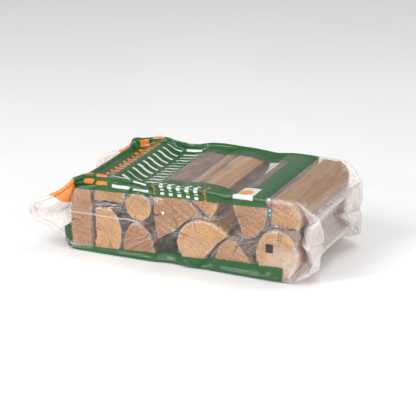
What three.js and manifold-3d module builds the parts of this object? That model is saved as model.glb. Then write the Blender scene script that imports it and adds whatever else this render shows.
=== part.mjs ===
// A bag of split firewood: twelve kiln-dried logs lying side by side in a sealed bag of plastic film.
// Millimetres, +Z up. The logs run along Y, the bag's long axis runs along X, and the bag lies on Z = 0.
// The origin is under the middle of the whole bag, its sealed tails included.

import * as THREE from "three";
import { mergeVertices } from "three/addons/utils/BufferGeometryUtils.js";
import Module from "manifold-3d";

const wasm = await Module();
wasm.setup();

// Driving dimensions of the film bag.
const BAG_LENGTH = 542;
const BAG_WIDTH = 254;
const LEFT_HEIGHT = 138;
const RIGHT_HEIGHT = 150;
const FILM_THICKNESS = 0.8;
const LEFT_TAIL = 62;
const RIGHT_TAIL = 44;
const SEAL_DEPTH = 10;
const SEAL_THICKNESS = 3;
const LEFT_SEAL_WIDTH = 260;
const RIGHT_SEAL_WIDTH = 258;
const LEFT_SEAL_HEIGHT = 68;
const RIGHT_SEAL_HEIGHT = 60;
const BAG_EDGE_RADIUS = 7;
const SEAL_EDGE_RADIUS = 1;
const CORNER_STEPS = 4;
const TAIL_STATIONS = [0.25, 0.5, 0.75];

// One punched vent hole in each long side.
const VENT_RADIUS = 3;
const VENT_SIDES = 12;
const VENT_HEIGHT = 92;
const VENT_FROM_STACK_END = 178;

// Driving dimensions of the stack of logs.
const LOG_LENGTH = 244;
const LOG_BOTTOM = 3;
const STACK_MARGIN = 2.2;
const CURVE_STEPS = 5;
const ROUND_STEPS = 22;

const boxLeft = -BAG_LENGTH / 2 + LEFT_TAIL;
const boxRight = BAG_LENGTH / 2 - RIGHT_TAIL;
const stackLeft = boxLeft + FILM_THICKNESS + STACK_MARGIN;

// Materials.

function finish(colour, roughness, extra = {}) {
  return new THREE.MeshStandardMaterial({ color: colour, roughness, metalness: 0, ...extra });
}

const clearFilm = finish(0xe6dedb, 0.18, { transparent: true, opacity: 0.3 });
const splitWood = finish(0xc8966a, 0.85);
const redWood = finish(0xb88058, 0.85);
const paleWood = finish(0xd9b078, 0.8);

// The film bag: a shell lofted from sealed tail to sealed tail, with two vent holes.

function roundedSection(x, width, low, high, radius) {
  const corners = [
    [width / 2 - radius, low + radius, -Math.PI / 2],
    [width / 2 - radius, high - radius, 0],
    [-width / 2 + radius, high - radius, Math.PI / 2],
    [-width / 2 + radius, low + radius, Math.PI],
  ];
  const points = [];
  for (const [y, z, start] of corners) {
    for (let step = 0; step <= CORNER_STEPS; step += 1) {
      const angle = start + (step / CORNER_STEPS) * (Math.PI / 2);
      points.push(new THREE.Vector3(x, y + radius * Math.cos(angle), z + radius * Math.sin(angle)));
    }
  }
  return points;
}

function loft(sections) {
  const count = sections[0].length;
  const positions = sections.flat().flatMap((point) => point.toArray());
  const index = [];
  for (let s = 0; s < sections.length - 1; s += 1) {
    for (let i = 0; i < count; i += 1) {
      const next = (i + 1) % count;
      const a = s * count + i;
      const b = s * count + next;
      index.push(a, b, b + count, a, b + count, a + count);
    }
  }
  const last = (sections.length - 1) * count;
  for (let i = 1; i < count - 1; i += 1) {
    index.push(0, i + 1, i);
    index.push(last, last + i, last + i + 1);
  }
  const geometry = new THREE.BufferGeometry();
  geometry.setAttribute("position", new THREE.Float32BufferAttribute(positions, 3));
  geometry.setIndex(index);
  return geometry;
}

// The sections of one tail, from its seal to the end of the box-shaped middle.
function tailSections(sealX, boxX, sealWidth, sealHeight, boxHeight, inset) {
  const inward = Math.sign(boxX - sealX);
  const sealInner = sealX + inward * SEAL_DEPTH;
  const start = inset > 0 ? [sealInner] : [sealX, sealInner];
  const halfSeal = SEAL_THICKNESS / 2 - inset;
  const sealSections = start.map((x) => roundedSection(
    x, sealWidth - 2 * inset, sealHeight - halfSeal, sealHeight + halfSeal, SEAL_EDGE_RADIUS / 2,
  ));
  const slopeSections = [...TAIL_STATIONS, 1].map((share) => {
    const rise = Math.sin((share * Math.PI) / 2);
    const boxWidth = BAG_WIDTH - 2 * inset;
    const width = THREE.MathUtils.lerp(sealWidth - 2 * inset, boxWidth, share);
    const low = THREE.MathUtils.lerp(sealHeight - halfSeal, inset, rise);
    const high = THREE.MathUtils.lerp(sealHeight + halfSeal, boxHeight - inset, rise);
    const radius = THREE.MathUtils.lerp(SEAL_EDGE_RADIUS / 2, BAG_EDGE_RADIUS - inset, share);
    const x = THREE.MathUtils.lerp(sealInner, boxX + inward * inset, share);
    return roundedSection(x, width, low, high, radius);
  });
  return [...sealSections, ...slopeSections];
}

function bagBody(inset) {
  const end = BAG_LENGTH / 2;
  const left = tailSections(-end, boxLeft, LEFT_SEAL_WIDTH, LEFT_SEAL_HEIGHT, LEFT_HEIGHT, inset);
  const right = tailSections(end, boxRight, RIGHT_SEAL_WIDTH, RIGHT_SEAL_HEIGHT, RIGHT_HEIGHT, inset);
  return loft([...left, ...right.reverse()]);
}

function toSolid(geometry) {
  const bare = geometry.clone();
  bare.deleteAttribute("normal");
  bare.deleteAttribute("uv");
  const merged = mergeVertices(bare);
  return new wasm.Manifold(new wasm.Mesh({
    numProp: 3,
    vertProperties: merged.attributes.position.array,
    triVerts: Uint32Array.from(merged.index.array),
  }));
}

function toGeometry(solid) {
  const mesh = solid.getMesh();
  const geometry = new THREE.BufferGeometry();
  geometry.setAttribute("position", new THREE.BufferAttribute(mesh.vertProperties, 3));
  geometry.setIndex(new THREE.BufferAttribute(mesh.triVerts, 1));
  geometry.computeVertexNormals();
  return geometry;
}

// A round cutter through both long sides at once, longer than the bag is wide.
function ventCutter() {
  const cutter = new THREE.CylinderGeometry(VENT_RADIUS, VENT_RADIUS, 2 * BAG_WIDTH, VENT_SIDES);
  cutter.translate(stackLeft + VENT_FROM_STACK_END, 0, VENT_HEIGHT);
  return cutter;
}

function filmBag() {
  const shell = toSolid(bagBody(0)).subtract(toSolid(bagBody(FILM_THICKNESS)));
  return toGeometry(shell.subtract(toSolid(ventCutter())));
}

// The logs. Each outline lies in the plane of the saw cut: across from the stack's left end, and up
// from the surface the bag lies on. A third number bows the edge that arrives at that point outward.

function outline(points) {
  const shape = new THREE.Shape();
  const area = THREE.ShapeUtils.area(points.map(([across, up]) => new THREE.Vector2(across, up)));
  const outward = area > 0 ? 1 : -1;
  shape.moveTo(points[0][0], points[0][1]);
  points.forEach((from, i) => {
    const to = points[(i + 1) % points.length];
    const bow = to[2] ?? 0;
    if (bow === 0) {
      shape.lineTo(to[0], to[1]);
      return;
    }
    const along = new THREE.Vector2(to[0] - from[0], to[1] - from[1]);
    const reach = (2 * bow * outward) / along.length();
    const middle = [(from[0] + to[0]) / 2, (from[1] + to[1]) / 2];
    shape.quadraticCurveTo(middle[0] + along.y * reach, middle[1] - along.x * reach, to[0], to[1]);
  });
  return shape;
}

function ellipse(across, up, halfWidth, halfHeight) {
  const curve = new THREE.EllipseCurve(across, up, halfWidth, halfHeight);
  const points = curve.getPoints(ROUND_STEPS).slice(0, ROUND_STEPS);
  return new THREE.Shape(points);
}

// A log sawn to length: the outline carried along Y, with its ends a little uneven in the stack.
function log(shape, shift, extraLength) {
  const length = LOG_LENGTH + extraLength;
  const body = new THREE.ExtrudeGeometry(shape, {
    depth: length, steps: 1, curveSegments: CURVE_STEPS, bevelEnabled: false,
  });
  body.rotateX(Math.PI / 2);
  body.translate(0, length / 2 + shift, 0);
  return body;
}

const leftSlab = outline([
  [40, LOG_BOTTOM],
  [41, 60],
  [38, 112, 1],
  [24, 119, 2],
  [6, 106, 3],
  [1, 60, 3],
  [7, LOG_BOTTOM, 3],
]);

const leftHalf = outline([
  [50, LOG_BOTTOM],
  [91, LOG_BOTTOM],
  [100, 56, 5],
  [80, 88, 4],
  [50, 84],
]);

const topLeftHalf = outline([
  [44, 95],
  [100, 97],
  [102, 116, 2],
  [76, 136, 5],
  [48, 124, 4],
]);

const domedHalf = outline([
  [106, LOG_BOTTOM],
  [161, LOG_BOTTOM],
  [161, 26, 2],
  [149, 57, 3],
  [132, 68, 2],
  [114, 55, 3],
  [105, 26, 2],
]);

const centreWedge = outline([
  [167, 40],
  [203, 64],
  [232, 91],
  [257, 94],
  [219, 124],
  [202, 138],
  [163, 136, 3],
  [160, 112],
  [160, 80],
]);

const topWedge = outline([
  [267, 92],
  [279, 118],
  [284, 138],
  [246, 142, 1],
  [210, 139, 1],
  [225, 127],
]);

// A round with a flat split off its lower right, where the low wedge lies.
const largeRound = outline([
  [252, 14],
  [280, 50],
  [290, 60],
  [304, 70],
  [286, 82, 1.3],
  [254, 89.5, 2.5],
  [221, 77, 3.5],
  [207, 46, 3.2],
  [214, 22, 1.8],
  [238, LOG_BOTTOM + 1, 2.5],
]);

const lowerWedge = outline([
  [268, LOG_BOTTOM],
  [344, LOG_BOTTOM],
  [343, 22, 1],
  [331, 42, 2],
  [314, 59, 1],
  [301, 64, 1],
  [292, 57],
  [284, 48],
]);

const rightWedge = outline([
  [331, 66],
  [345, 69],
  [366, 89],
  [372, 120],
  [368, 142],
  [340, 145, 1],
  [312, 142, 1],
  [310, 120],
]);

const topRightQuarter = outline([
  [378, 98],
  [427, 97],
  [430, 122, 1],
  [412, 145, 4],
  [381, 146],
  [377, 124],
]);

// Name, outline, finish, shift along Y and extra length.
const logs = [
  ["slab_log_left_end", leftSlab, redWood, 1, -2],
  ["half_log_left", leftHalf, splitWood, -1, 0],
  ["half_log_top_left", topLeftHalf, splitWood, 2, -10],
  ["small_round_log", ellipse(131.5, 97, 25, 25.5), splitWood, 0, -3],
  ["domed_half_log", domedHalf, redWood, -1, -2],
  ["large_wedge_log", centreWedge, splitWood, 1, -8],
  ["top_wedge_log", topWedge, splitWood, -1, -12],
  ["large_round_log", largeRound, paleWood, -1, 1],
  ["lower_wedge_log", lowerWedge, redWood, 1, -3],
  ["right_wedge_log", rightWedge, splitWood, 0, -9],
  ["round_log_right_end", ellipse(391, 48.5, 38.5, 45), paleWood, -1, 0],
  ["quarter_log_top_right", topRightQuarter, splitWood, 1, -11],
];

const bundle = new THREE.Group();

const bag = new THREE.Mesh(filmBag(), clearFilm);
bag.name = "film_bag";
bundle.add(bag);

for (const [name, shape, material, shift, extraLength] of logs) {
  const mesh = new THREE.Mesh(log(shape, shift, extraLength), material);
  mesh.name = name;
  mesh.position.x = stackLeft;
  bundle.add(mesh);
}

export default bundle;
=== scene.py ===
"""A clear film bag of split firewood on a pale floor. Logs and film are made around the CAD frame."""

import math

import bpy
import numpy as np
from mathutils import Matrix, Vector


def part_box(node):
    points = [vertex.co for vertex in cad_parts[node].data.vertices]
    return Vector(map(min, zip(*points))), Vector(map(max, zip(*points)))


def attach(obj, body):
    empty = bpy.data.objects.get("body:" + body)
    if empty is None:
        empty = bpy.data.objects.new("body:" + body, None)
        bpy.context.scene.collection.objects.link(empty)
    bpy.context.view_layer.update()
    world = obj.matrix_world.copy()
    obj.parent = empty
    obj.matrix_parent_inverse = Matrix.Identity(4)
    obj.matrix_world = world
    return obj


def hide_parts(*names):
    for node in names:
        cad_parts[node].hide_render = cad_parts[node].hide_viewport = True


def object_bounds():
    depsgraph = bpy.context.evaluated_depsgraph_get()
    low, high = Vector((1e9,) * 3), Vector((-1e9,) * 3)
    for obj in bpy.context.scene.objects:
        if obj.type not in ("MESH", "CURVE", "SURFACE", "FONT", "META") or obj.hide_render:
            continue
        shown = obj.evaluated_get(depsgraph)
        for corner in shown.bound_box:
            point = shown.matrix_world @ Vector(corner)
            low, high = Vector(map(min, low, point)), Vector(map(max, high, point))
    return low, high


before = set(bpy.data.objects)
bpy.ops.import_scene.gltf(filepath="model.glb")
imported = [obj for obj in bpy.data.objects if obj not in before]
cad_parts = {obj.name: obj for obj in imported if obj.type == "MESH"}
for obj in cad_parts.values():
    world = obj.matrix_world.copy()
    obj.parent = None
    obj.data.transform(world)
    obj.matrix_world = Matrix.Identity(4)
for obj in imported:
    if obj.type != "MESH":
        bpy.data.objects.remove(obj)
cad_low, cad_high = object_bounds()
MM = 0.001

# ---------------------------------------------------------------- what each log is

# pith: where the tree's centre lies in the log's end, as shares of its box across and up.
# tone: how red its wood is. cracks: how many drying cracks run in from its rim.
# bark: how smooth and tan its bark is, from 0 for dark plates to 1, or None where it was split away.
LOGS = {
    "slab_log_left_end": dict(pith=(1.35, 0.45), tone=0.78, cracks=2, bark=0.0, slot="red_wood"),
    "half_log_left": dict(pith=(0.05, 0.45), tone=0.20, cracks=2, bark=0.1, slot="split_wood"),
    "half_log_top_left": dict(pith=(0.45, -0.05), tone=0.42, cracks=2, bark=0.2, slot="split_wood"),
    "small_round_log": dict(pith=(0.52, 0.55), tone=0.30, cracks=2, bark=0.35, slot="split_wood"),
    "domed_half_log": dict(pith=(0.45, -0.1), tone=1.00, cracks=2, bark=0.0, slot="red_wood"),
    "large_wedge_log": dict(pith=(0.12, 0.02), tone=0.82, cracks=2, bark=0.25, slot="split_wood"),
    "top_wedge_log": dict(pith=(0.80, -0.15), tone=0.40, cracks=0, bark=0.3, slot="split_wood"),
    "large_round_log": dict(pith=(0.52, 0.60), tone=0.08, cracks=2, bark=0.15, slot="pale_wood"),
    "lower_wedge_log": dict(pith=(0.30, 1.20), tone=0.62, cracks=2, bark=0.0, slot="red_wood"),
    "right_wedge_log": dict(pith=(0.42, -0.10), tone=0.85, cracks=2, bark=0.1, slot="split_wood"),
    "round_log_right_end": dict(pith=(0.48, 0.52), tone=0.12, cracks=2, bark=0.9, slot="pale_wood"),
    "quarter_log_top_right": dict(pith=(0.0, 0.0), tone=0.45, cracks=2, bark=None, slot="split_wood"),
}

# ---------------------------------------------------------------- noise and outlines

END_TOLERANCE = 0.01 * MM


def smooth_noise(rng, shape, spread):
    """Random values blurred over spread cells each way, wrapped at the edges, with a deviation of 1."""
    waves = np.fft.rfft2(rng.standard_normal(shape))
    down = np.fft.fftfreq(shape[0])[:, None] * spread[0]
    across = np.fft.rfftfreq(shape[1])[None, :] * spread[1]
    values = np.fft.irfft2(waves * np.exp(-2 * np.pi**2 * (down**2 + across**2)), s=shape)
    return (values - values.mean()) / values.std()


def smooth_step(low, high, value):
    share = np.clip((value - low) / (high - low), 0, 1)
    return share * share * (3 - 2 * share)


def log_outline(name):
    """The corners of a log's front end in the CAD frame, in order, as (across, up)."""
    points = np.array([v.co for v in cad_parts[name].data.vertices], float)
    front = points[points[:, 1] < points[:, 1].min() + END_TOLERANCE]
    corners = np.unique(front[:, [0, 2]].round(6), axis=0)
    middle = (corners.min(0) + corners.max(0)) / 2
    angles = np.arctan2(corners[:, 1] - middle[1], corners[:, 0] - middle[0])
    return corners[np.argsort(angles)]


def even_loop(corners, count, soften):
    """count points spaced evenly round a closed outline, its corners rounded off over soften metres."""
    closed = np.vstack([corners, corners[:1]])
    along = np.concatenate([[0], np.cumsum(np.linalg.norm(np.diff(closed, axis=0), axis=1))])
    at = np.arange(count) / count * along[-1]
    loop = np.stack([np.interp(at, along, closed[:, k]) for k in range(2)], 1)
    waves = np.fft.rfft(loop, axis=0)
    cells = soften / (along[-1] / count)
    keep = np.exp(-2 * np.pi**2 * (np.fft.rfftfreq(count) * cells) ** 2)
    return np.fft.irfft(waves * keep[:, None], n=count, axis=0)


def new_object(name, points, faces, face_slots, materials):
    mesh = bpy.data.meshes.new(name)
    mesh.from_pydata([tuple(p) for p in points], [], faces)
    for material in materials:
        mesh.materials.append(material)
    mesh.polygons.foreach_set("material_index", np.array(face_slots, np.int32))
    mesh.polygons.foreach_set("use_smooth", np.ones(len(faces), bool))
    mesh.update()
    made = bpy.data.objects.new(name, mesh)
    bpy.context.scene.collection.objects.link(made)
    return made


def point_values(made, name, kind, values):
    attribute = made.data.attributes.new(name, kind, "POINT")
    field = "vector" if kind == "FLOAT_VECTOR" else "value"
    attribute.data.foreach_set(field, np.asarray(values, np.float32).ravel())


# ---------------------------------------------------------------- shader helpers


class Nodes:
    """A short way to write a material's nodes."""

    def __init__(self, name):
        self.material = bpy.data.materials.new(name)
        self.material.use_nodes = True
        self.tree = self.material.node_tree
        self.tree.nodes.clear()
        self.output = self.add("ShaderNodeOutputMaterial")

    def add(self, kind, inputs=None, **settings):
        node = self.tree.nodes.new(kind)
        for key, value in settings.items():
            setattr(node, key, value)
        for key, value in (inputs or {}).items():
            self.put(node.inputs[key], value)
        return node

    def put(self, socket, value):
        if isinstance(value, bpy.types.NodeSocket):
            self.tree.links.new(value, socket)
        else:
            socket.default_value = value

    def maths(self, operation, a, b=0.0, c=0.0, clamp=False):
        node = self.add("ShaderNodeMath", operation=operation, use_clamp=clamp)
        for socket, value in zip(node.inputs, (a, b, c)):
            self.put(socket, value)
        return node.outputs[0]

    def attribute(self, name, output="Fac"):
        return self.add("ShaderNodeAttribute", attribute_name=name).outputs[output]

    def noise(self, vector, scale, detail=3.0, roughness=0.55, distortion=0.0):
        inputs = {"Vector": vector, "Scale": scale, "Detail": detail}
        inputs.update({"Roughness": roughness, "Distortion": distortion})
        return self.add("ShaderNodeTexNoise", inputs).outputs["Fac"]

    def ramp(self, value, low, high, to_low=0.0, to_high=1.0):
        inputs = {"Value": value, "From Min": low, "From Max": high}
        inputs.update({"To Min": to_low, "To Max": to_high})
        return self.add("ShaderNodeMapRange", inputs, clamp=True).outputs["Result"]

    def mix(self, share, a, b):
        node = self.add("ShaderNodeMix", data_type="RGBA", clamp_factor=True)
        for index, value in ((0, share), (6, a), (7, b)):
            self.put(node.inputs[index], value)
        return node.outputs[2]

    def layers(self, colour, *layers):
        """A colour with others laid over it in turn, each as (share, colour)."""
        for share, shade in layers:
            colour = self.mix(share, colour, shade)
        return colour

    def sum(self, *values):
        total = values[0]
        for value in values[1:]:
            total = self.maths("ADD", total, value)
        return total

    def product(self, *values):
        total = values[0]
        for value in values[1:]:
            total = self.maths("MULTIPLY", total, value)
        return total

    def stretched(self, vector, scale):
        """Coordinates scaled along each axis, to draw a noise out."""
        return self.add("ShaderNodeMapping", {"Vector": vector, "Scale": scale}).outputs[0]

    def bump(self, height, strength, distance, normal=None):
        inputs = {"Height": height, "Strength": strength, "Distance": distance}
        if normal is not None:
            inputs["Normal"] = normal
        return self.add("ShaderNodeBump", inputs).outputs[0]

    def principled(self, **inputs):
        return self.add("ShaderNodeBsdfPrincipled", {k.replace("_", " "): v for k, v in inputs.items()})

    def show(self, shader):
        self.tree.links.new(shader, self.output.inputs["Surface"])
        return self.material


def position(nodes):
    return nodes.add("ShaderNodeTexCoord").outputs["Object"]


# ---------------------------------------------------------------- wood

# Colours are linear. Where there are two, the first is for the palest wood and the second for the reddest.
HEARTWOOD = ((0.580, 0.300, 0.090, 1), (0.215, 0.070, 0.022, 1))
SAPWOOD = ((0.660, 0.370, 0.130, 1), (0.310, 0.120, 0.045, 1))
# Painted shade: the split wood is darkened overall, standing for the shade in the gaps between the logs.
SPLIT_WOOD = ((0.440, 0.245, 0.105, 1), (0.260, 0.118, 0.054, 1))
RING_LINE = (0.230, 0.092, 0.036, 1)
RAY_LIGHT = (0.820, 0.540, 0.280, 1)
RAY_DARK = (0.175, 0.072, 0.032, 1)
STAIN = (0.210, 0.092, 0.045, 1)
SAW_MARK = (0.720, 0.470, 0.260, 1)
SPECK_DARK = (0.150, 0.062, 0.028, 1)
SPECK_LIGHT = (0.800, 0.550, 0.310, 1)
# Painted shade: the near-black laid into the drying cracks stands for the shade inside them.
CRACK_SHADE = (0.080, 0.036, 0.018, 1)
FIBRE_DARK = (0.260, 0.125, 0.060, 1)
FIBRE_LIGHT = (0.740, 0.520, 0.290, 1)

# The first is for dark, plated bark and the second for smooth, tan bark.
# Painted shade: the bark colours are darkened overall too, for the shade in the gaps between the logs.
BARK_HOLLOW = ((0.038, 0.021, 0.015, 1), (0.250, 0.120, 0.066, 1))
BARK_RIDGE = ((0.200, 0.122, 0.080, 1), (0.520, 0.300, 0.175, 1))
LICHEN = (0.330, 0.310, 0.270, 1)
BARK_GRAIN = (0.100, 0.062, 0.045, 1)

RING_SPACING = 4.7 * MM
RING_WANDER = 6 * MM
RAY_COUNT = 24.0
RAY_BREAKS = 70.0
SAW_RELIEF = 1.2 * MM
RING_RELIEF = 0.6 * MM
FIBRE_RELIEF = 2.0 * MM
PLATE_RELIEF = 3.5 * MM
GRAIN_RELIEF = 1.0 * MM


def end_grain():
    """Sawn ends: growth rings round the pith, rays, saw marks, stains and paler sapwood at the rim."""
    n = Nodes("end_grain")
    place = position(n)
    split = n.add("ShaderNodeSeparateXYZ", {"Vector": n.attribute("pith", "Vector")})
    across, up = split.outputs[0], split.outputs[2]
    radius = n.maths("SQRT", n.sum(n.product(across, across), n.product(up, up)))
    wander = n.noise(place, 28.0, 3.0)
    radius = n.sum(radius, n.product(n.maths("SUBTRACT", wander, 0.5), RING_WANDER))
    rings = n.ramp(n.maths("SINE", n.product(radius, 2 * math.pi / RING_SPACING)), 0.15, 1.0)
    angle = n.maths("ARCTAN2", up, across)
    polar = {0: n.product(angle, RAY_COUNT), 1: n.product(radius, RAY_BREAKS)}
    rays = n.noise(n.add("ShaderNodeCombineXYZ", polar).outputs[0], 2.4, 2.0)
    saw = n.noise(n.stretched(n.attribute("sawn", "Vector"), (30.0, 30.0, 430.0)), 1.0, 3.0)
    blotch = n.noise(place, 38.0, 4.0, 0.65)
    speck = n.noise(place, 210.0, 3.0, 0.7)
    faint = n.ramp(n.noise(place, 60.0, 2.0), 0.35, 0.65, 0.40, 0.95)

    tone = n.attribute("tone")
    outer = n.sum(n.attribute("rim"), n.product(wander, 0.25))
    colour = n.mix(n.ramp(outer, 0.72, 1.02), n.mix(tone, *HEARTWOOD), n.mix(tone, *SAPWOOD))
    colour = n.layers(
        colour,
        (n.product(rings, faint), RING_LINE),
        (n.ramp(rays, 0.50, 0.68, 0.0, 0.62), RAY_LIGHT),
        (n.ramp(rays, 0.47, 0.32, 0.0, 0.65), RAY_DARK),
        (n.ramp(blotch, 0.46, 0.76, 0.0, 0.55), STAIN),
        (n.ramp(saw, 0.48, 0.74, 0.0, 0.42), SAW_MARK),
        (n.ramp(speck, 0.54, 0.74, 0.0, 0.45), SPECK_DARK),
        (n.ramp(speck, 0.44, 0.26, 0.0, 0.30), SPECK_LIGHT),
        # Painted shade: the drying cracks are darkened as the shade inside them.
        (n.attribute("crack"), CRACK_SHADE),
    )
    bump = n.bump(rings, 0.25, RING_RELIEF, n.bump(saw, 0.5, SAW_RELIEF))
    return n.show(n.principled(Base_Color=colour, Roughness=0.85, Normal=bump).outputs[0])


def split_face():
    """Cleft faces: long fibres along the log, with darker and paler streaks."""
    n = Nodes("split_face")
    place = position(n)
    fibre = n.noise(n.stretched(place, (260.0, 9.0, 260.0)), 1.0, 4.0, 0.6)
    streak = n.noise(n.stretched(place, (60.0, 3.0, 60.0)), 1.0, 3.0)
    colour = n.layers(
        n.mix(n.attribute("tone"), *SPLIT_WOOD),
        (n.ramp(fibre, 0.42, 0.66, 0.0, 0.75), FIBRE_DARK),
        (n.ramp(streak, 0.50, 0.75, 0.0, 0.50), FIBRE_LIGHT),
    )
    bump = n.bump(fibre, 0.6, FIBRE_RELIEF)
    return n.show(n.principled(Base_Color=colour, Roughness=0.88, Normal=bump).outputs[0])


def bark():
    """Bark: dark plates with paler ridges and grey lichen."""
    n = Nodes("bark")
    place = position(n)
    plates = n.noise(n.stretched(place, (70.0, 26.0, 70.0)), 1.0, 5.0, 0.65)
    lichen = n.noise(place, 46.0, 4.0, 0.7)
    fine = n.noise(n.stretched(place, (320.0, 120.0, 320.0)), 1.0, 3.0)
    smooth = n.attribute("bark")
    colour = n.mix(n.ramp(plates, 0.35, 0.65), n.mix(smooth, *BARK_HOLLOW), n.mix(smooth, *BARK_RIDGE))
    colour = n.layers(
        colour,
        (n.ramp(lichen, 0.58, 0.72, 0.0, 0.45), LICHEN),
        (n.ramp(fine, 0.45, 0.75, 0.0, 0.35), BARK_GRAIN),
    )
    bump = n.bump(fine, 0.4, GRAIN_RELIEF, n.bump(plates, 0.8, PLATE_RELIEF))
    return n.show(n.principled(Base_Color=colour, Roughness=0.92, Normal=bump).outputs[0])


WOOD = [end_grain(), split_face(), bark()]
END_GRAIN, SPLIT_FACE, BARK = range(3)

# ---------------------------------------------------------------- logs

AROUND_LOG = 168
ROWS_LOG = 46
CAP_RINGS = 20
FIRST_SEED = 11
# Bark is where the outline faces straight away from the pith and is nearly as far from it as it gets.
BARK_FACING = (0.80, 0.90)
BARK_REACH = (0.80, 0.86)
CORNER_SOFT = 1.3 * MM
FIBRE_DEPTH = 0.45 * MM
STEP_DEPTH = 1.1 * MM
BARK_DEPTH = 1.0 * MM
CRACK_DEPTH = 7 * MM
# Where a crack starts and how long it takes to open, as shares of the way from the middle to the rim.
CRACK_START, CRACK_SPREAD, CRACK_STAGGER = 0.15, 0.35, 0.37
CRACK_OPENING = 0.35
CRACK_AT_RIM = 0.6
CAP_ROUGHNESS = 0.25 * MM
CAP_TILT = 0.012
RIM_STEP = 0.5 * MM
RING_CROWDING = 1.15
SAW_TURN = 0.6
# How much a log swells and leans along its length, with waves in radians a metre.
SWELL, SWELL_WAVE = 0.012, 18
LEAN, LEAN_WAVES = 0.8 * MM, (14, 11)


def build_log(name, facts, seed):
    """One log: sides displaced by fibres and bark, closed by two sawn ends with drying cracks."""
    rng = np.random.default_rng(seed)
    low, high = (np.array(corner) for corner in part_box(name))
    loop = even_loop(log_outline(name), AROUND_LOG, CORNER_SOFT)
    step = np.roll(loop, -1, 0) - np.roll(loop, 1, 0)
    outward = np.stack([step[:, 1], -step[:, 0]], 1) / np.linalg.norm(step, axis=1)[:, None]
    share = np.array(facts["pith"])
    pith = np.array([low[0] + share[0] * (high[0] - low[0]), low[2] + share[1] * (high[2] - low[2])])
    reach = np.linalg.norm(loop - pith, axis=1)
    radial = (loop - pith) / reach[:, None]
    facing = (outward * radial).sum(1)
    barked = smooth_step(*BARK_FACING, facing) * smooth_step(*BARK_REACH, reach / reach.max())
    barked *= facts["bark"] is not None

    shape = (AROUND_LOG, ROWS_LOG)
    fibres = smooth_noise(rng, shape, (1.1, 14)) * FIBRE_DEPTH
    torn = smooth_step(0.4, 0.8, smooth_noise(rng, shape, (4, 12))) * STEP_DEPTH
    plates = np.abs(smooth_noise(rng, shape, (2.2, 3.0))) * BARK_DEPTH
    depth = (fibres - torn) * (1 - barked[:, None]) - plates * barked[:, None]
    length = np.linspace(low[1], high[1], ROWS_LOG)
    swell_phase, *lean_phases, _ = rng.uniform(0, 2 * math.pi, 4)
    swell = 1 + SWELL * np.sin(length * SWELL_WAVE + swell_phase)
    lean = LEAN * np.sin(length[:, None] * LEAN_WAVES + lean_phases)

    middle = loop.mean(0)
    rows = []
    for j, y in enumerate(length):
        ring = middle + (loop - middle) * swell[j] + lean[j] + outward * depth[:, j, None]
        rows.append(np.column_stack([ring[:, 0], np.full(AROUND_LOG, y), ring[:, 1]]))

    cracks = rng.choice(AROUND_LOG, facts["cracks"], replace=False)
    caps = [cap_rings(rng, rows[0], low[1], -1, cracks), cap_rings(rng, rows[-1], high[1], 1, cracks)]
    grid = list(reversed(caps[0][0])) + rows + caps[1][0]
    crack_shading = list(reversed(caps[0][1])) + [np.zeros(AROUND_LOG)] * ROWS_LOG + caps[1][1]

    points = np.concatenate(grid)
    faces, slots = tube_faces(len(grid), barked)
    for first in (0, len(grid) - 1):
        centre = len(points)
        points = np.vstack([points, grid[first].mean(0)])
        crack_shading.append(np.zeros(1))
        base = first * AROUND_LOG
        for i in range(AROUND_LOG):
            a, b = base + i, base + (i + 1) % AROUND_LOG
            faces.append((centre, a, b) if first else (centre, b, a))
            slots.append(END_GRAIN)
    made = new_object("log." + name, points, faces, slots, WOOD)
    offset = np.column_stack([points[:, 0] - pith[0], np.zeros(len(points)), points[:, 2] - pith[1]])
    point_values(made, "pith", "FLOAT_VECTOR", offset)
    turn = rng.uniform(-SAW_TURN, SAW_TURN)
    sawn = [offset[:, 0] * math.cos(turn) + offset[:, 2] * math.sin(turn), points[:, 1],
            offset[:, 2] * math.cos(turn) - offset[:, 0] * math.sin(turn)]
    point_values(made, "sawn", "FLOAT_VECTOR", np.column_stack(sawn))
    distance = np.hypot(offset[:, 0], offset[:, 2])
    point_values(made, "rim", "FLOAT", distance / reach.max())
    point_values(made, "crack", "FLOAT", np.concatenate(crack_shading))
    point_values(made, "tone", "FLOAT", np.full(len(points), facts["tone"]))
    point_values(made, "bark", "FLOAT", np.full(len(points), facts["bark"] or 0.0))
    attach(made, "root")
    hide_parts(name)


def cap_rings(rng, rim, y, side, cracks):
    """Rings of points from a log's rim in to its middle, and how far each point lies in a crack, which is
    painted dark there as shade.
    """
    middle = rim.mean(0)
    rough = smooth_noise(rng, (CAP_RINGS, AROUND_LOG), (2.0, 2.5)) * CAP_ROUGHNESS
    tilt = rng.uniform(-CAP_TILT, CAP_TILT, 2)
    rings, crack_shading = [], []
    for k in range(1, CAP_RINGS + 1):
        share = 1 - (k / (CAP_RINGS + 1)) ** RING_CROWDING
        ring = middle + (rim - middle) * share
        sunk = np.abs(rough[k - 1]) + (RIM_STEP if k == 1 else 0)
        shade = np.zeros(AROUND_LOG)
        for number, i in enumerate(cracks):
            start = CRACK_START + CRACK_SPREAD * ((number * CRACK_STAGGER) % 1)
            opened = smooth_step(start, min(start + CRACK_OPENING, 1), share) * (1 if k > 1 else CRACK_AT_RIM)
            sunk[i] += CRACK_DEPTH * opened
            shade[i] = max(shade[i], opened)
        slope = tilt[0] * (ring[:, 0] - middle[0]) + tilt[1] * (ring[:, 2] - middle[2])
        ring[:, 1] = y - side * (sunk + np.abs(slope))
        rings.append(ring)
        crack_shading.append(shade)
    return rings, crack_shading


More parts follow.
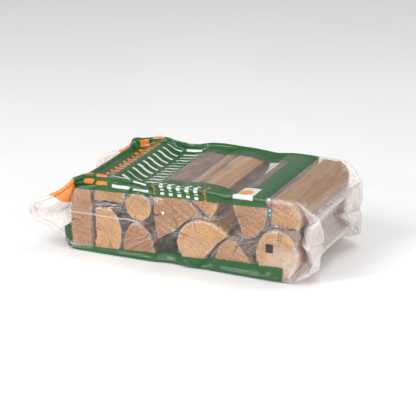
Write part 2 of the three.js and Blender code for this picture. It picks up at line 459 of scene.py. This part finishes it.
def tube_faces(count, barked):
    """Squares between count rings of points, and each one's material."""
    faces, slots = [], []
    for j in range(count - 1):
        side = CAP_RINGS <= j < CAP_RINGS + ROWS_LOG - 1
        for i in range(AROUND_LOG):
            k = (i + 1) % AROUND_LOG
            a, b = j * AROUND_LOG + i, j * AROUND_LOG + k
            faces.append((a, b, b + AROUND_LOG, a + AROUND_LOG))
            slots.append((BARK if barked[i] + barked[k] > 1 else SPLIT_FACE) if side else END_GRAIN)
    return faces, slots


for seed, (log_name, log_facts) in enumerate(LOGS.items()):
    build_log(log_name, log_facts, FIRST_SEED + seed)

# ---------------------------------------------------------------- film: how it settles on the logs

# The film is a grid of points, CELL apart: AROUND of them round the bag, ALONG from seal to seal.
CELL = 5 * MM
AROUND = 160
ALONG = 129
FILM_WIDTH = AROUND * CELL
FILM_LENGTH = (ALONG - 1) * CELL
SEAL_ROWS = 2

FIELD_CELL = 3 * MM
FIELD_MARGIN = np.array([39, 40, 12]) * MM
FIELD_LOW = np.array(cad_low) - FIELD_MARGIN
FIELD_SHAPE = tuple(int(n) for n in np.ceil((np.array(cad_high) + FIELD_MARGIN - FIELD_LOW) / FIELD_CELL))
LOG_GAP = 1.6 * MM
FLAT_SLOPE = 1e-6
TINY = 1e-12

stack_low = np.min([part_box(log_name)[0] for log_name in LOGS], axis=0)
stack_high = np.max([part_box(log_name)[1] for log_name in LOGS], axis=0)
STACK_MIDDLE = (stack_low[0] + stack_high[0]) / 2
STACK_HALF = (stack_high[0] - stack_low[0]) / 2
# The loose film is a box round the stack, FILM_SHIFT towards the left end.
FILM_SHIFT = 3 * MM
BOX_WIDTH = stack_high[1] - stack_low[1] + 11 * MM
BOX_RADIUS = 18 * MM
BOX_HEIGHT = FILM_WIDTH / 2 - BOX_WIDTH + (4 - math.pi) * BOX_RADIUS
CORNER_POINTS = 24
FLAT_HEIGHT = 0.8 * MM
FLAT_RADIUS = 0.2 * MM
# How far a tail reaches out for each metre of its film.
TAIL_FALL = 0.64

# The film stays within walls. Past the right end of the logs, those at the sides close in by GATHER.
LEFT_WALL = cad_low[0] - 8 * MM
RIGHT_WALL = cad_high[0] - 3 * MM
SIDE_WALL = cad_high[1] + 11 * MM
GATHER = 44 * MM
GATHER_FROM = stack_high[0]
GATHER_RUN = 34 * MM
WALL_START = FILM_WIDTH / 4 + 2 * MM
WALLS_OPEN_BY = 0.6
FLOOR_GAP = 0.4 * MM

STEPS = 110
ROUNDS = 12
TOUCH_EVERY = 3
# How far the pull towards the logs and the film's weight move it in a step.
SUCTION = 0.12 * MM
WEIGHT = 0.03 * MM
START_WOBBLE = 1.2 * MM
# Shares of an error that are put right: when the film is squeezed, across its squares, and in a bend.
SQUEEZE = 0.25
SHEAR = 0.7
BEND = 0.04
FRICTION = 0.5
AIR_DRAG = 0.9
SPRING_BACK = 0.85


class LogField:
    """How far a point is from the nearest log, sampled on a grid around the stack."""

    def __init__(self, logs):
        x, y, z = (FIELD_LOW[k] + FIELD_CELL * np.arange(FIELD_SHAPE[k]) for k in range(3))
        gx, gz = np.meshgrid(x, z, indexing="ij")
        nearest = np.full(FIELD_SHAPE, 1.0)
        for outline, y_low, y_high in logs:
            flat = polygon_distance(outline, gx, gz)[:, None, :]
            side = np.maximum(y_low - y, y - y_high)[None, :, None]
            outside = np.hypot(np.maximum(flat, 0), np.maximum(side, 0))
            nearest = np.minimum(nearest, outside + np.minimum(np.maximum(flat, side), 0))
        self.grids = [a.ravel() for a in (nearest, *np.gradient(nearest, FIELD_CELL))]
        self.strides = np.array([FIELD_SHAPE[1] * FIELD_SHAPE[2], FIELD_SHAPE[2], 1])

    def sample(self, points):
        """Each point's distance and the way out."""
        at = np.clip((points - FIELD_LOW) / FIELD_CELL, 0, np.array(FIELD_SHAPE) - 1.001)
        base = at.astype(np.int64)
        part = at - base
        index = base @ self.strides
        found = [0.0] * 4
        for corner in range(8):
            step = [(corner >> k) & 1 for k in range(3)]
            weight = np.prod([part[..., k] if step[k] else 1 - part[..., k] for k in range(3)], axis=0)
            where = index + int(np.dot(step, self.strides))
            found = [f + weight * grid[where] for f, grid in zip(found, self.grids)]
        way = np.stack(found[1:], -1)
        return found[0], way / np.maximum(np.linalg.norm(way, axis=-1, keepdims=True), FLAT_SLOPE)

    def push_out(self, points, gap):
        """Moves points nearer than gap to a log out to it. Returns which ones moved, and their way out."""
        distance, way = self.sample(points)
        touching = distance < gap
        points[touching] += (way * (gap - distance)[..., None])[touching]
        return touching, way[touching]


def polygon_distance(outline, gx, gz):
    """Distance to a closed outline, negative inside."""
    best = np.full(gx.shape, 1.0)
    inside = np.zeros(gx.shape, bool)
    for (ax, az), (bx, bz) in zip(outline, np.roll(outline, -1, axis=0)):
        ex, ez = bx - ax, bz - az
        share = np.clip(((gx - ax) * ex + (gz - az) * ez) / (ex * ex + ez * ez), 0, 1)
        best = np.minimum(best, np.hypot(gx - ax - share * ex, gz - az - share * ez))
        rise = ez if abs(ez) > TINY else TINY
        inside ^= ((az > gz) != (bz > gz)) & (gx < ax + (gz - az) / rise * ex)
    return np.where(inside, -best, best)


def rounded_loop(width, height, radius, count):
    """count points evenly round a rounded rectangle, from the middle of its bottom, as (across, up)."""
    w, h = width / 2 - radius, height / 2 - radius
    turn = np.linspace(0, np.pi / 2, CORNER_POINTS)
    corners = []
    for cx, cy, start in ((-w, -h, 1.5), (-w, h, 1.0), (w, h, 0.5), (w, -h, 0.0)):
        angle = start * np.pi - turn
        corners.append(np.stack([cx + radius * np.cos(angle), cy + radius * np.sin(angle)], 1))
    bottom = [[0, -height / 2]]
    loop = np.concatenate([bottom, *corners, bottom])
    along = np.concatenate([[0], np.cumsum(np.linalg.norm(np.diff(loop, axis=0), axis=1))])
    at = np.arange(count) / count * along[-1]
    return np.stack([np.interp(at, along, loop[:, k]) for k in range(2)], 1)


def tucked_loop(share):
    """The right end's outline: as it flattens, both its sides fold inwards between top and bottom."""
    loop = rounded_loop(BOX_WIDTH, BOX_HEIGHT, BOX_RADIUS, AROUND)
    half = BOX_HEIGHT / 2
    low = max(half * (1 - share), FLAT_HEIGHT / 2)
    on_side = np.clip((np.abs(loop[:, 0]) - (BOX_WIDTH / 2 - BOX_RADIUS)) / BOX_RADIUS, 0, 1)
    inward = math.sqrt(half**2 - low**2) * (1 - np.abs(loop[:, 1]) / half) * on_side
    return np.stack([loop[:, 0] - np.sign(loop[:, 0]) * inward, loop[:, 1] * low / half], 1)


def loose_film():
    """The film before it settles: a pillow round the stack, pinched flat at both ends."""
    points = np.zeros((ALONG, AROUND, 3))
    for row, run in enumerate(np.arange(ALONG) * CELL - FILM_LENGTH / 2 - FILM_SHIFT):
        overhang = FILM_LENGTH / 2 + math.copysign(FILM_SHIFT, -run) - STACK_HALF
        beyond = max(abs(run) - STACK_HALF, 0)
        share = beyond / overhang
        if run > 0:
            loop = tucked_loop(share)
        else:
            width = BOX_WIDTH + (FILM_WIDTH / 2 - BOX_WIDTH) * share
            height = max(BOX_HEIGHT * (1 - share), FLAT_HEIGHT)
            loop = rounded_loop(width, height, max(BOX_RADIUS * (1 - share), FLAT_RADIUS), AROUND)
        points[row, :, 0] = STACK_MIDDLE + math.copysign(min(abs(run), STACK_HALF) + TAIL_FALL * beyond, run)
        points[row, :, 1] = loop[:, 0]
        points[row, :, 2] = BOX_HEIGHT / 2 + 1 * MM + loop[:, 1]
    return points


def pull(a, b, rest, give, slack=1.0):
    """Brings pairs of points towards rest apart: by give when stretched, by give * slack when squeezed."""
    gap = b - a
    size = np.sqrt(np.einsum("...i,...i->...", gap, gap)) + TINY
    error = (size - rest) / size
    move = gap * (np.where(error > 0, error, error * slack) * give * 0.5)[..., None]
    a += move
    b -= move


def turned(points, shift, job):
    """Runs job on the columns turned by shift, so the closed loop's last and first columns meet."""
    points[:] = np.roll(points, -shift, 1)
    job(points)
    points[:] = np.roll(points, shift, 1)


def hold_together(points):
    """One round of the film's own pulls: along, around, across the squares and against sharp bends."""
    diagonal = CELL * math.sqrt(2)
    mirror = (AROUND // 2 - np.arange(AROUND)) % AROUND

    def around(p):
        pull(p[:, 0::2], p[:, 1::2], CELL, 1.0, SQUEEZE)

    def across(p):
        pull(p[:-1, 0::2], p[1:, 1::2], diagonal, SHEAR, SQUEEZE)
        pull(p[1:, 0::2], p[:-1, 1::2], diagonal, SHEAR, SQUEEZE)

    def bends(p):
        pull(p[:, 0::4], p[:, 2::4], 2 * CELL, BEND)
        pull(p[:, 1::4], p[:, 3::4], 2 * CELL, BEND)

    for shift in (0, 1):
        turned(points, shift, around)
    pull(points[0:-1:2], points[1::2], CELL, 1.0, SQUEEZE)
    pull(points[1:-1:2], points[2::2], CELL, 1.0, SQUEEZE)
    for shift in (0, 1):
        turned(points, shift, across)
    for shift in (0, 2):
        turned(points, shift, bends)
    for first in range(4):
        near, far = points[first:ALONG - 2:4], points[first + 2:ALONG:4]
        count = min(len(near), len(far))
        pull(near[:count], far[:count], 2 * CELL, BEND)
    for row in (*range(SEAL_ROWS), *range(ALONG - SEAL_ROWS, ALONG)):
        points[row] = (points[row] + points[row][mirror]) / 2


def outward(points):
    """The film's normal at each point, away from the logs."""
    around = np.roll(points, -1, 1) - np.roll(points, 1, 1)
    normal = np.cross(np.gradient(points, axis=0), around)
    return normal / (np.linalg.norm(normal, axis=-1, keepdims=True) + TINY)


def settle_film(field):
    """Draws the loose film in round the logs, step by step, with friction where it touches them."""
    rng = np.random.default_rng(5)
    points = loose_film()
    points += START_WOBBLE * np.stack([smooth_noise(rng, points.shape[:2], (3, 3)) for _ in range(3)], -1)
    points[..., 2] = np.maximum(points[..., 2], FLOOR_GAP)
    speed = np.zeros_like(points)
    for step in range(STEPS):
        side = WALL_START + (SIDE_WALL - WALL_START) * min(step / (STEPS * WALLS_OPEN_BY), 1)
        before = points.copy()
        speed = speed * AIR_DRAG - SUCTION * outward(points)
        speed[..., 2] -= WEIGHT
        points = points + speed
        for turn in range(ROUNDS):
            hold_together(points)
            if (turn + 1) % TOUCH_EVERY:
                continue
            touching, way = field.push_out(points, LOG_GAP)
            if turn == ROUNDS - 1:
                slide = (points - before)[touching]
                slide -= way * np.einsum("ij,ij->i", slide, way)[:, None]
                points[touching] -= FRICTION * slide
            points[..., 0] = np.clip(points[..., 0], LEFT_WALL, RIGHT_WALL)
            reach = side - GATHER * np.clip((points[..., 0] - GATHER_FROM) / GATHER_RUN, 0, 1)
            points[..., 1] = np.clip(points[..., 1], -reach, reach)
            points[..., 2] = np.maximum(points[..., 2], FLOOR_GAP)
        speed = (points - before) * SPRING_BACK
    return points


# ---------------------------------------------------------------- film: mesh

CREASE_HEIGHT = 0.42 * MM
TAIL_CREASE_HEIGHT = 1.3 * MM
RIDGE_WIDTH = 0.18
# Where the creases of the middle give way to those of the tails, from 0 at the middle to 1 at the seals.
TAIL_FROM, TAIL_FULL = 0.70, 0.96
FINE_LOG_GAP = 1.0 * MM
PUSHES = 3
FINE_SEAL_ROWS = 3
SEAL_GAP = 0.5 * MM
SHARP_BEND = 1.2 * MM


def midpoints(points, closed):
    """Points halfway between neighbours, on the smooth curve: round the closed columns, or along the rows."""
    if closed:
        a, b, c, d = (np.roll(points, shift, 1) for shift in (1, 0, -1, -2))
    else:
        padded = np.concatenate([points[:1], points, points[-1:]])
        a, b, c, d = padded[:-3], padded[1:-2], padded[2:-1], padded[3:]
    return (9 * (b + c) - a - d) / 16


def finer(points):
    """The same surface with twice the rows and columns."""
    rows = np.zeros((points.shape[0] * 2 - 1, points.shape[1], 3))
    rows[0::2], rows[1::2] = points, midpoints(points, False)
    out = np.zeros((rows.shape[0], rows.shape[1] * 2, 3))
    out[:, 0::2], out[:, 1::2] = rows, midpoints(rows, True)
    return out


def ridges(rng, shape, spread):
    """Sharp creases: high along the lines where a smooth random surface passes through zero."""
    return np.exp(-((smooth_noise(rng, shape, spread) / RIDGE_WIDTH) ** 2))


def crinkle(points):
    """Small creases over the film, larger in the tails. Returns the creases, and where the tails are."""
    rng = np.random.default_rng(17)
    shape = points.shape[:2]
    padded = (shape[0] + 1, shape[1])
    long_way = ridges(rng, padded, (16, 3.5))[:-1]
    cross_way = ridges(rng, padded, (3.5, 18))[:-1]
    all_ways = ridges(rng, padded, (5, 5))[:-1]
    run = np.abs(np.linspace(-1, 1, shape[0]))[:, None]
    tail = smooth_step(TAIL_FROM, TAIL_FULL, run)
    pleats = ridges(rng, padded, (22, 2.2))[:-1]
    creases = 0.5 * long_way + 0.35 * cross_way + 0.4 * all_ways
    in_tail = 0.35 * all_ways + 0.65 * pleats
    height = CREASE_HEIGHT * creases * (1 - tail) + TAIL_CREASE_HEIGHT * in_tail * tail
    points += outward(points) * height[..., None]
    return creases, np.broadcast_to(tail, shape)


def bend_amount(points):
    """How sharply the film turns at each point, 0 for flat."""
    around = np.roll(points, -1, 1) + np.roll(points, 1, 1) - 2 * points
    along = np.zeros_like(points)
    along[1:-1] = points[2:] + points[:-2] - 2 * points[1:-1]
    return np.linalg.norm(around, axis=-1) + np.linalg.norm(along, axis=-1)


def build_film(field, material):
    """The settled film as one tube of squares, closed by two seals, with its flat layout as a UV map."""
    points = finer(settle_film(field))
    creases, tail = crinkle(points)
    for _ in range(PUSHES):
        field.push_out(points, FINE_LOG_GAP)
    rows, columns = points.shape[:2]
    mirror = (columns // 2 - np.arange(columns)) % columns
    lower = np.minimum(np.arange(columns), columns - np.arange(columns)) < columns // 4
    for row in (*range(FINE_SEAL_ROWS), *range(rows - FINE_SEAL_ROWS, rows)):
        joined = (points[row] + points[row][mirror]) / 2
        points[row] = joined + np.where(lower, -SEAL_GAP / 2, SEAL_GAP / 2)[:, None] * np.array([0, 0, 1])
    points[..., 0] = np.clip(points[..., 0], LEFT_WALL, RIGHT_WALL)
    points[..., 2] = np.maximum(points[..., 2], FLOOR_GAP)

    faces = []
    flat = []
    for r in range(rows - 1):
        for c in range(columns):
            k = (c + 1) % columns
            faces.append((r * columns + c, r * columns + k, (r + 1) * columns + k, (r + 1) * columns + c))
            u0, u1 = c / columns, (c + 1) / columns
            v0, v1 = r / (rows - 1), (r + 1) / (rows - 1)
            flat += [u0, v0, u1, v0, u1, v1, u0, v1]
    made = new_object("film", points.reshape(-1, 3), faces, np.zeros(len(faces)), [material])
    made.data.uv_layers.new(name="flat").data.foreach_set("uv", np.array(flat, np.float32))
    bends = np.clip(bend_amount(points) / SHARP_BEND, 0, 1)
    point_values(made, "bend", "FLOAT", bends)
    point_values(made, "crease", "FLOAT", np.clip(creases, 0, 1))
    point_values(made, "tail", "FLOAT", tail)
    return made


# ---------------------------------------------------------------- film: print and gloss

# Places in the print are in millimetres: across from the middle of the bag's underside towards its
# front, and along from the left end of the logs.
LEFT_OVERHANG = (FILM_LENGTH / 2 + FILM_SHIFT - STACK_HALF) / MM
HALF_ROUND = FILM_WIDTH / MM / 2
PRINT_EDGE = 0.35
PRINT_SLANT = 0.045
STROKE_EDGE = 0.02

GREEN = (0.004, 0.088, 0.010, 1)
BAND_ORANGE = (0.84, 0.235, 0.012, 1)
STROKE_ORANGE = (0.78, 0.20, 0.012, 1)
STROKE_WHITE = (0.72, 0.72, 0.70, 1)
DISC_ORANGE = (0.72, 0.30, 0.03, 1)
EYE_BLACK = (0.006, 0.006, 0.010, 1)
# Painted highlight: the white of the dot where a vent hole catches the light.
VENT_GLINT_WHITE = (0.85, 0.85, 0.85, 1)
DOT_COLOURS = (
    (0.02, 0.45, 0.66, 1),
    (0.20, 0.55, 0.75, 1),
    (0.66, 0.04, 0.24, 1),
    (0.80, 0.62, 0.04, 1),
    (0.75, 0.75, 0.75, 1),
)
DOT_SPACING = 8
DOT_SIZE = 5
VENT_SIZE = 6
INK_COVER = 0.95

CLEAR_TINT = (1.0, 0.985, 0.975, 1)
MILK_WHITE = (0.86, 0.80, 0.78, 1)
STREAK_RELIEF = 1.2 * MM
WRINKLE_RELIEF = 1.4 * MM
# Wrinkles run three ways: each one's turn, and how slowly it changes along its run.
WRINKLES = ((0.7, 0.05), (-0.6, 0.06), (1.25, 0.045))
# How much of the light the film mirrors when seen straight on. It rises to all of it edge on.
STRAIGHT_SHINE = 0.05
EDGE_POWER = 5.0


class Print(Nodes):
    """The film's nodes, with masks for what is printed on it: 1 inside a shape and 0 outside."""

    def __init__(self, name):
        super().__init__(name)
        inputs = {"Vector": self.add("ShaderNodeUVMap", uv_map="flat").outputs[0]}
        inputs.update({"Scale": (FILM_WIDTH / MM, FILM_LENGTH / MM, 1), "Location": (0, -LEFT_OVERHANG, 0)})
        self.place = self.add("ShaderNodeMapping", inputs).outputs[0]
        split = self.add("ShaderNodeSeparateXYZ", {"Vector": self.place})
        self.across, along = split.outputs[0], split.outputs[1]
        # Folding the film over its top's centre line makes one measure for front and back alike.
        from_top = self.maths("ABSOLUTE", self.maths("SUBTRACT", self.across, HALF_ROUND))
        over = self.maths("SUBTRACT", HALF_ROUND, from_top)
        askew = self.maths("SUBTRACT", over, self.product(along, PRINT_SLANT))
        self.folded = self.add("ShaderNodeCombineXYZ", {0: over, 1: along}).outputs[0]
        self.slanted = self.add("ShaderNodeCombineXYZ", {0: askew, 1: along}).outputs[0]

    def vector(self, operation, a, b=(0, 0, 0), output=0):
        return self.add("ShaderNodeVectorMath", {0: a, 1: b}, operation=operation).outputs[output]

    def box(self, across_from, across_to, along_from, along_to, radius=0.6, soft=PRINT_EDGE, at=None):
        """A rectangle with rounded corners."""
        middle = ((across_from + across_to) / 2, (along_from + along_to) / 2, 0)
        inner = ((across_to - across_from) / 2 - radius, (along_to - along_from) / 2 - radius, 1)
        away = self.vector("ABSOLUTE", self.vector("SUBTRACT", self.place if at is None else at, middle))
        away = self.vector("MAXIMUM", self.vector("SUBTRACT", away, inner))
        return self.ramp(self.vector("LENGTH", away, output="Value"), radius - soft, radius + soft, 1.0, 0.0)

    def either(self, *masks):
        total = masks[0]
        for mask in masks[1:]:
            total = self.maths("MAXIMUM", total, mask)
        return total

    def without(self, mask, hole):
        return self.product(mask, self.maths("SUBTRACT", 1.0, hole))

    def strokes(self, first, last, start, end, period, share):
        """A row of short, uneven strokes across the bag, where the real one has words."""
        count = self.maths("DIVIDE", self.maths("SUBTRACT", self.across, first), period)
        inputs = {"W": self.maths("FLOOR", count)}
        chance = self.add("ShaderNodeTexWhiteNoise", inputs, noise_dimensions="1D").outputs["Value"]
        reach = self.product(self.maths("MULTIPLY_ADD", chance, 0.9, 0.4), share / 2)
        away = self.maths("ABSOLUTE", self.maths("SUBTRACT", self.maths("FRACT", count), share / 2))
        inked = self.ramp(self.maths("SUBTRACT", away, reach), -STROKE_EDGE, STROKE_EDGE, 1.0, 0.0)
        return self.product(self.box(first, last, start, end, 0.8), inked)


def printed(n):
    """How much ink covers the film, and its colour, with a white dot painted as the highlight of a vent hole.
    """
    under = n.box(-200, 134, -46, 405, 4, at=n.slanted)
    top = n.box(240, 700, -2, 372, 3, at=n.slanted)
    window = n.box(306, 700, 158, 336, 16, at=n.slanted)
    band = n.box(240, 700, -52, -2, at=n.slanted)
    patch = n.box(268, 318, 312, 348, 2)
    disc = n.box(278, 306, 318, 342, 11.5, 1.2)
    eye = n.box(176, 192, 373, 386)
    # Painted highlight: a white dot where a vent hole in the film catches the light.
    vent_glint = n.box(215, 215 + VENT_SIZE, 175, 175 + VENT_SIZE, 2.9, 0.5, at=n.folded)
    starts = [242 + DOT_SPACING * k for k in range(len(DOT_COLOURS))]
    dots = [n.box(start, start + DOT_SIZE, 374.5, 374.5 + DOT_SIZE, 2.4) for start in starts]

    orange = [n.strokes(254, 546, 18, 38, 17, 0.62), n.strokes(254, 546, 46, 68, 14, 0.55)]
    orange += [n.strokes(252, 300, start, start + 4, 5.2, 0.6) for start in (160, 256)]
    white = [n.strokes(252, 548, 78, 110, 21, 0.30), n.strokes(252, 548, 118, 148, 16, 0.34)]
    white += [n.strokes(252, 294, start, start + 7, 7.3, 0.72) for start in (174, 190, 206, 222, 238)]

    colour = n.layers(
        GREEN,
        (band, BAND_ORANGE),
        (n.either(*orange), STROKE_ORANGE),
        (n.either(patch, *white), STROKE_WHITE),
        (disc, DISC_ORANGE),
        (eye, EYE_BLACK),
        *zip(dots, DOT_COLOURS),
        # Painted highlight of the vent hole, laid over the print.
        (vent_glint, VENT_GLINT_WHITE),
    )
    return n.either(under, n.without(top, window), band, patch, eye, vent_glint, *dots), colour


def hazy(n):
    """How milky the clear film is, more so in bends, creases and pleats, with white streaks along its
    wrinkles that are partly milky film and partly painted highlight, and its small relief.
    """
    cloud = n.noise(position(n), 22.0, 3.0)
    streaks = n.noise(n.stretched(n.place, (0.16, 0.035, 1.0)), 1.0, 4.0, 0.6, 0.6)
    pleats = n.noise(n.stretched(n.place, (0.55, 0.022, 1.0)), 1.0, 4.0, 0.6, 0.3)
    tail = n.attribute("tail")
    wrinkles = []
    for turn, along in WRINKLES:
        turned_place = n.add("ShaderNodeMapping", {"Vector": n.place, "Rotation": (0, 0, turn)}).outputs[0]
        wrinkles.append(n.noise(n.stretched(turned_place, (0.42, along, 1.0)), 1.0, 3.0, 0.6, 0.4))
    wrinkle_and_glint = n.sum(n.either(*wrinkles), n.product(pleats, n.product(tail, 0.8)))
    bent = n.ramp(n.attribute("bend"), 0.35, 1.0, 0.0, 0.24)
    low_corner = n.box(138, 188, 376, 432, 12, 9)
    fold_line = n.box(194.6, 197.4, -60, 130, 0.8, 0.7)
    haze = n.sum(
        n.product(bent, n.maths("MULTIPLY_ADD", tail, -0.65, 1.0)),
        n.ramp(cloud, 0.50, 0.80, 0.008, 0.07),
        n.ramp(streaks, 0.58, 0.80, 0.0, 0.14),
        n.product(tail, 0.02),
        n.product(n.ramp(pleats, 0.52, 0.70, 0.0, 0.30), tail),
        n.product(n.attribute("crease"), 0.06),
        n.product(low_corner, n.ramp(cloud, 0.30, 0.65, 0.12, 0.34)),
        n.product(fold_line, 0.35),
        # Painted highlight: the white streaks along the wrinkles stand partly for glints on them and partly
        # for the film's own milky creasing.
        n.ramp(wrinkle_and_glint, 0.62, 0.76, 0.0, 0.34),
    )
    relief = n.bump(wrinkle_and_glint, 0.65, WRINKLE_RELIEF, n.bump(streaks, 0.25, STREAK_RELIEF))
    return n.maths("MINIMUM", haze, 1.0), relief


def film_material():
    """Clear film with a haze, opaque print on it, and gloss over both."""
    n = Print("printed_film")
    ink, colour = printed(n)
    haze, relief = hazy(n)
    matt = {"Specular_IOR_Level": 0.0, "Normal": relief}
    clear = n.add("ShaderNodeBsdfTransparent", {"Color": CLEAR_TINT}).outputs[0]
    milk = n.principled(Base_Color=MILK_WHITE, Roughness=0.45, **matt).outputs[0]
    paint = n.principled(Base_Color=colour, Roughness=0.30, **matt).outputs[0]
    film_body = n.add("ShaderNodeMixShader", {0: haze, 1: clear, 2: milk}).outputs[0]
    body = n.add("ShaderNodeMixShader", {0: n.product(ink, INK_COVER), 1: film_body, 2: paint}).outputs[0]
    mirror = {"Color": (1, 1, 1, 1), "Roughness": 0.11, "Normal": relief}
    gloss = n.add("ShaderNodeBsdfGlossy", mirror).outputs[0]
    facing = n.add("ShaderNodeLayerWeight", {"Blend": 0.5, "Normal": relief}).outputs["Facing"]
    edge = n.maths("POWER", facing, EDGE_POWER)
    shine = n.maths("MULTIPLY_ADD", edge, 1 - STRAIGHT_SHINE, STRAIGHT_SHINE)
    return n.show(n.add("ShaderNodeMixShader", {0: shine, 1: body, 2: gloss}).outputs[0])


stack = []
for log_name in LOGS:
    low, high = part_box(log_name)
    stack.append((log_outline(log_name), low[1], high[1]))
film = build_film(LogField(stack), film_material())
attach(film, "root")
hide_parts("film_bag")

# ---------------------------------------------------------------- floor, light and camera

FLOOR_HALF = 30
# Each lamp's place, size and watts.
LAMPS = {
    "key": ((-0.9, -1.3, 1.6), (0.5, 1.0), 19),
    "top": ((0.4, 0.5, 1.8), (0.9, 0.5), 9),
    "side": ((1.8, -0.7, 0.9), (0.25, 0.9), 10),
    "glint": ((-0.5, -1.9, 1.0), (0.10, 0.10), 5),
    "strip": ((-1.0, -2.3, 0.5), (1.6, 0.25), 14),
}
LAMP_TARGET = (0, 0, 0.06)
SKY_STRENGTH = 0.54
CAMERA_AZIMUTH = math.radians(24)
CAMERA_ELEVATION = math.radians(20)
CAMERA_DISTANCE = 3.6
CAMERA_TARGET = Vector((0.004, 0, 0.066))
CAMERA_LENS = 177


def floor_material():
    n = Nodes("pale_floor")
    tint = n.noise(position(n), 3.0, 3.0)
    colour = n.mix(n.ramp(tint, 0.3, 0.7), (0.90, 0.90, 0.90, 1), (0.93, 0.93, 0.93, 1))
    return n.show(n.principled(Base_Color=colour, Roughness=0.75).outputs[0])


def aim(made, start, target):
    """Puts a lamp or camera in the scene at start, pointing at target."""
    made.location = start
    made.rotation_euler = (Vector(target) - Vector(start)).to_track_quat("-Z", "Y").to_euler()
    bpy.context.scene.collection.objects.link(made)


floor_corners = [(FLOOR_HALF * x, FLOOR_HALF * y, 0) for x, y in ((-1, -1), (1, -1), (1, 1), (-1, 1))]
floor = new_object("floor", floor_corners, [(0, 1, 2, 3)], [0], [floor_material()])

for lamp_name, (start, size, power) in LAMPS.items():
    lamp = bpy.data.lights.new(lamp_name, "AREA")
    lamp.shape = "RECTANGLE"
    lamp.size, lamp.size_y = size
    lamp.energy = power
    aim(bpy.data.objects.new(lamp_name, lamp), start, LAMP_TARGET)

world = bpy.data.worlds.new("studio")
world.use_nodes = True
sky = world.node_tree.nodes["Background"]
sky.inputs["Color"].default_value = (1, 1, 1, 1)
sky.inputs["Strength"].default_value = SKY_STRENGTH
bpy.context.scene.world = world

level = math.cos(CAMERA_ELEVATION)
view = Vector((
    math.sin(CAMERA_AZIMUTH) * level, -math.cos(CAMERA_AZIMUTH) * level, math.sin(CAMERA_ELEVATION),
))
lens = bpy.data.cameras.new("camera")
lens.sensor_width = 36
lens.lens = CAMERA_LENS
camera = bpy.data.objects.new("camera", lens)
aim(camera, CAMERA_TARGET + view * CAMERA_DISTANCE, CAMERA_TARGET)
bpy.context.scene.camera = camera
bpy.context.scene.view_settings.view_transform = "Standard"
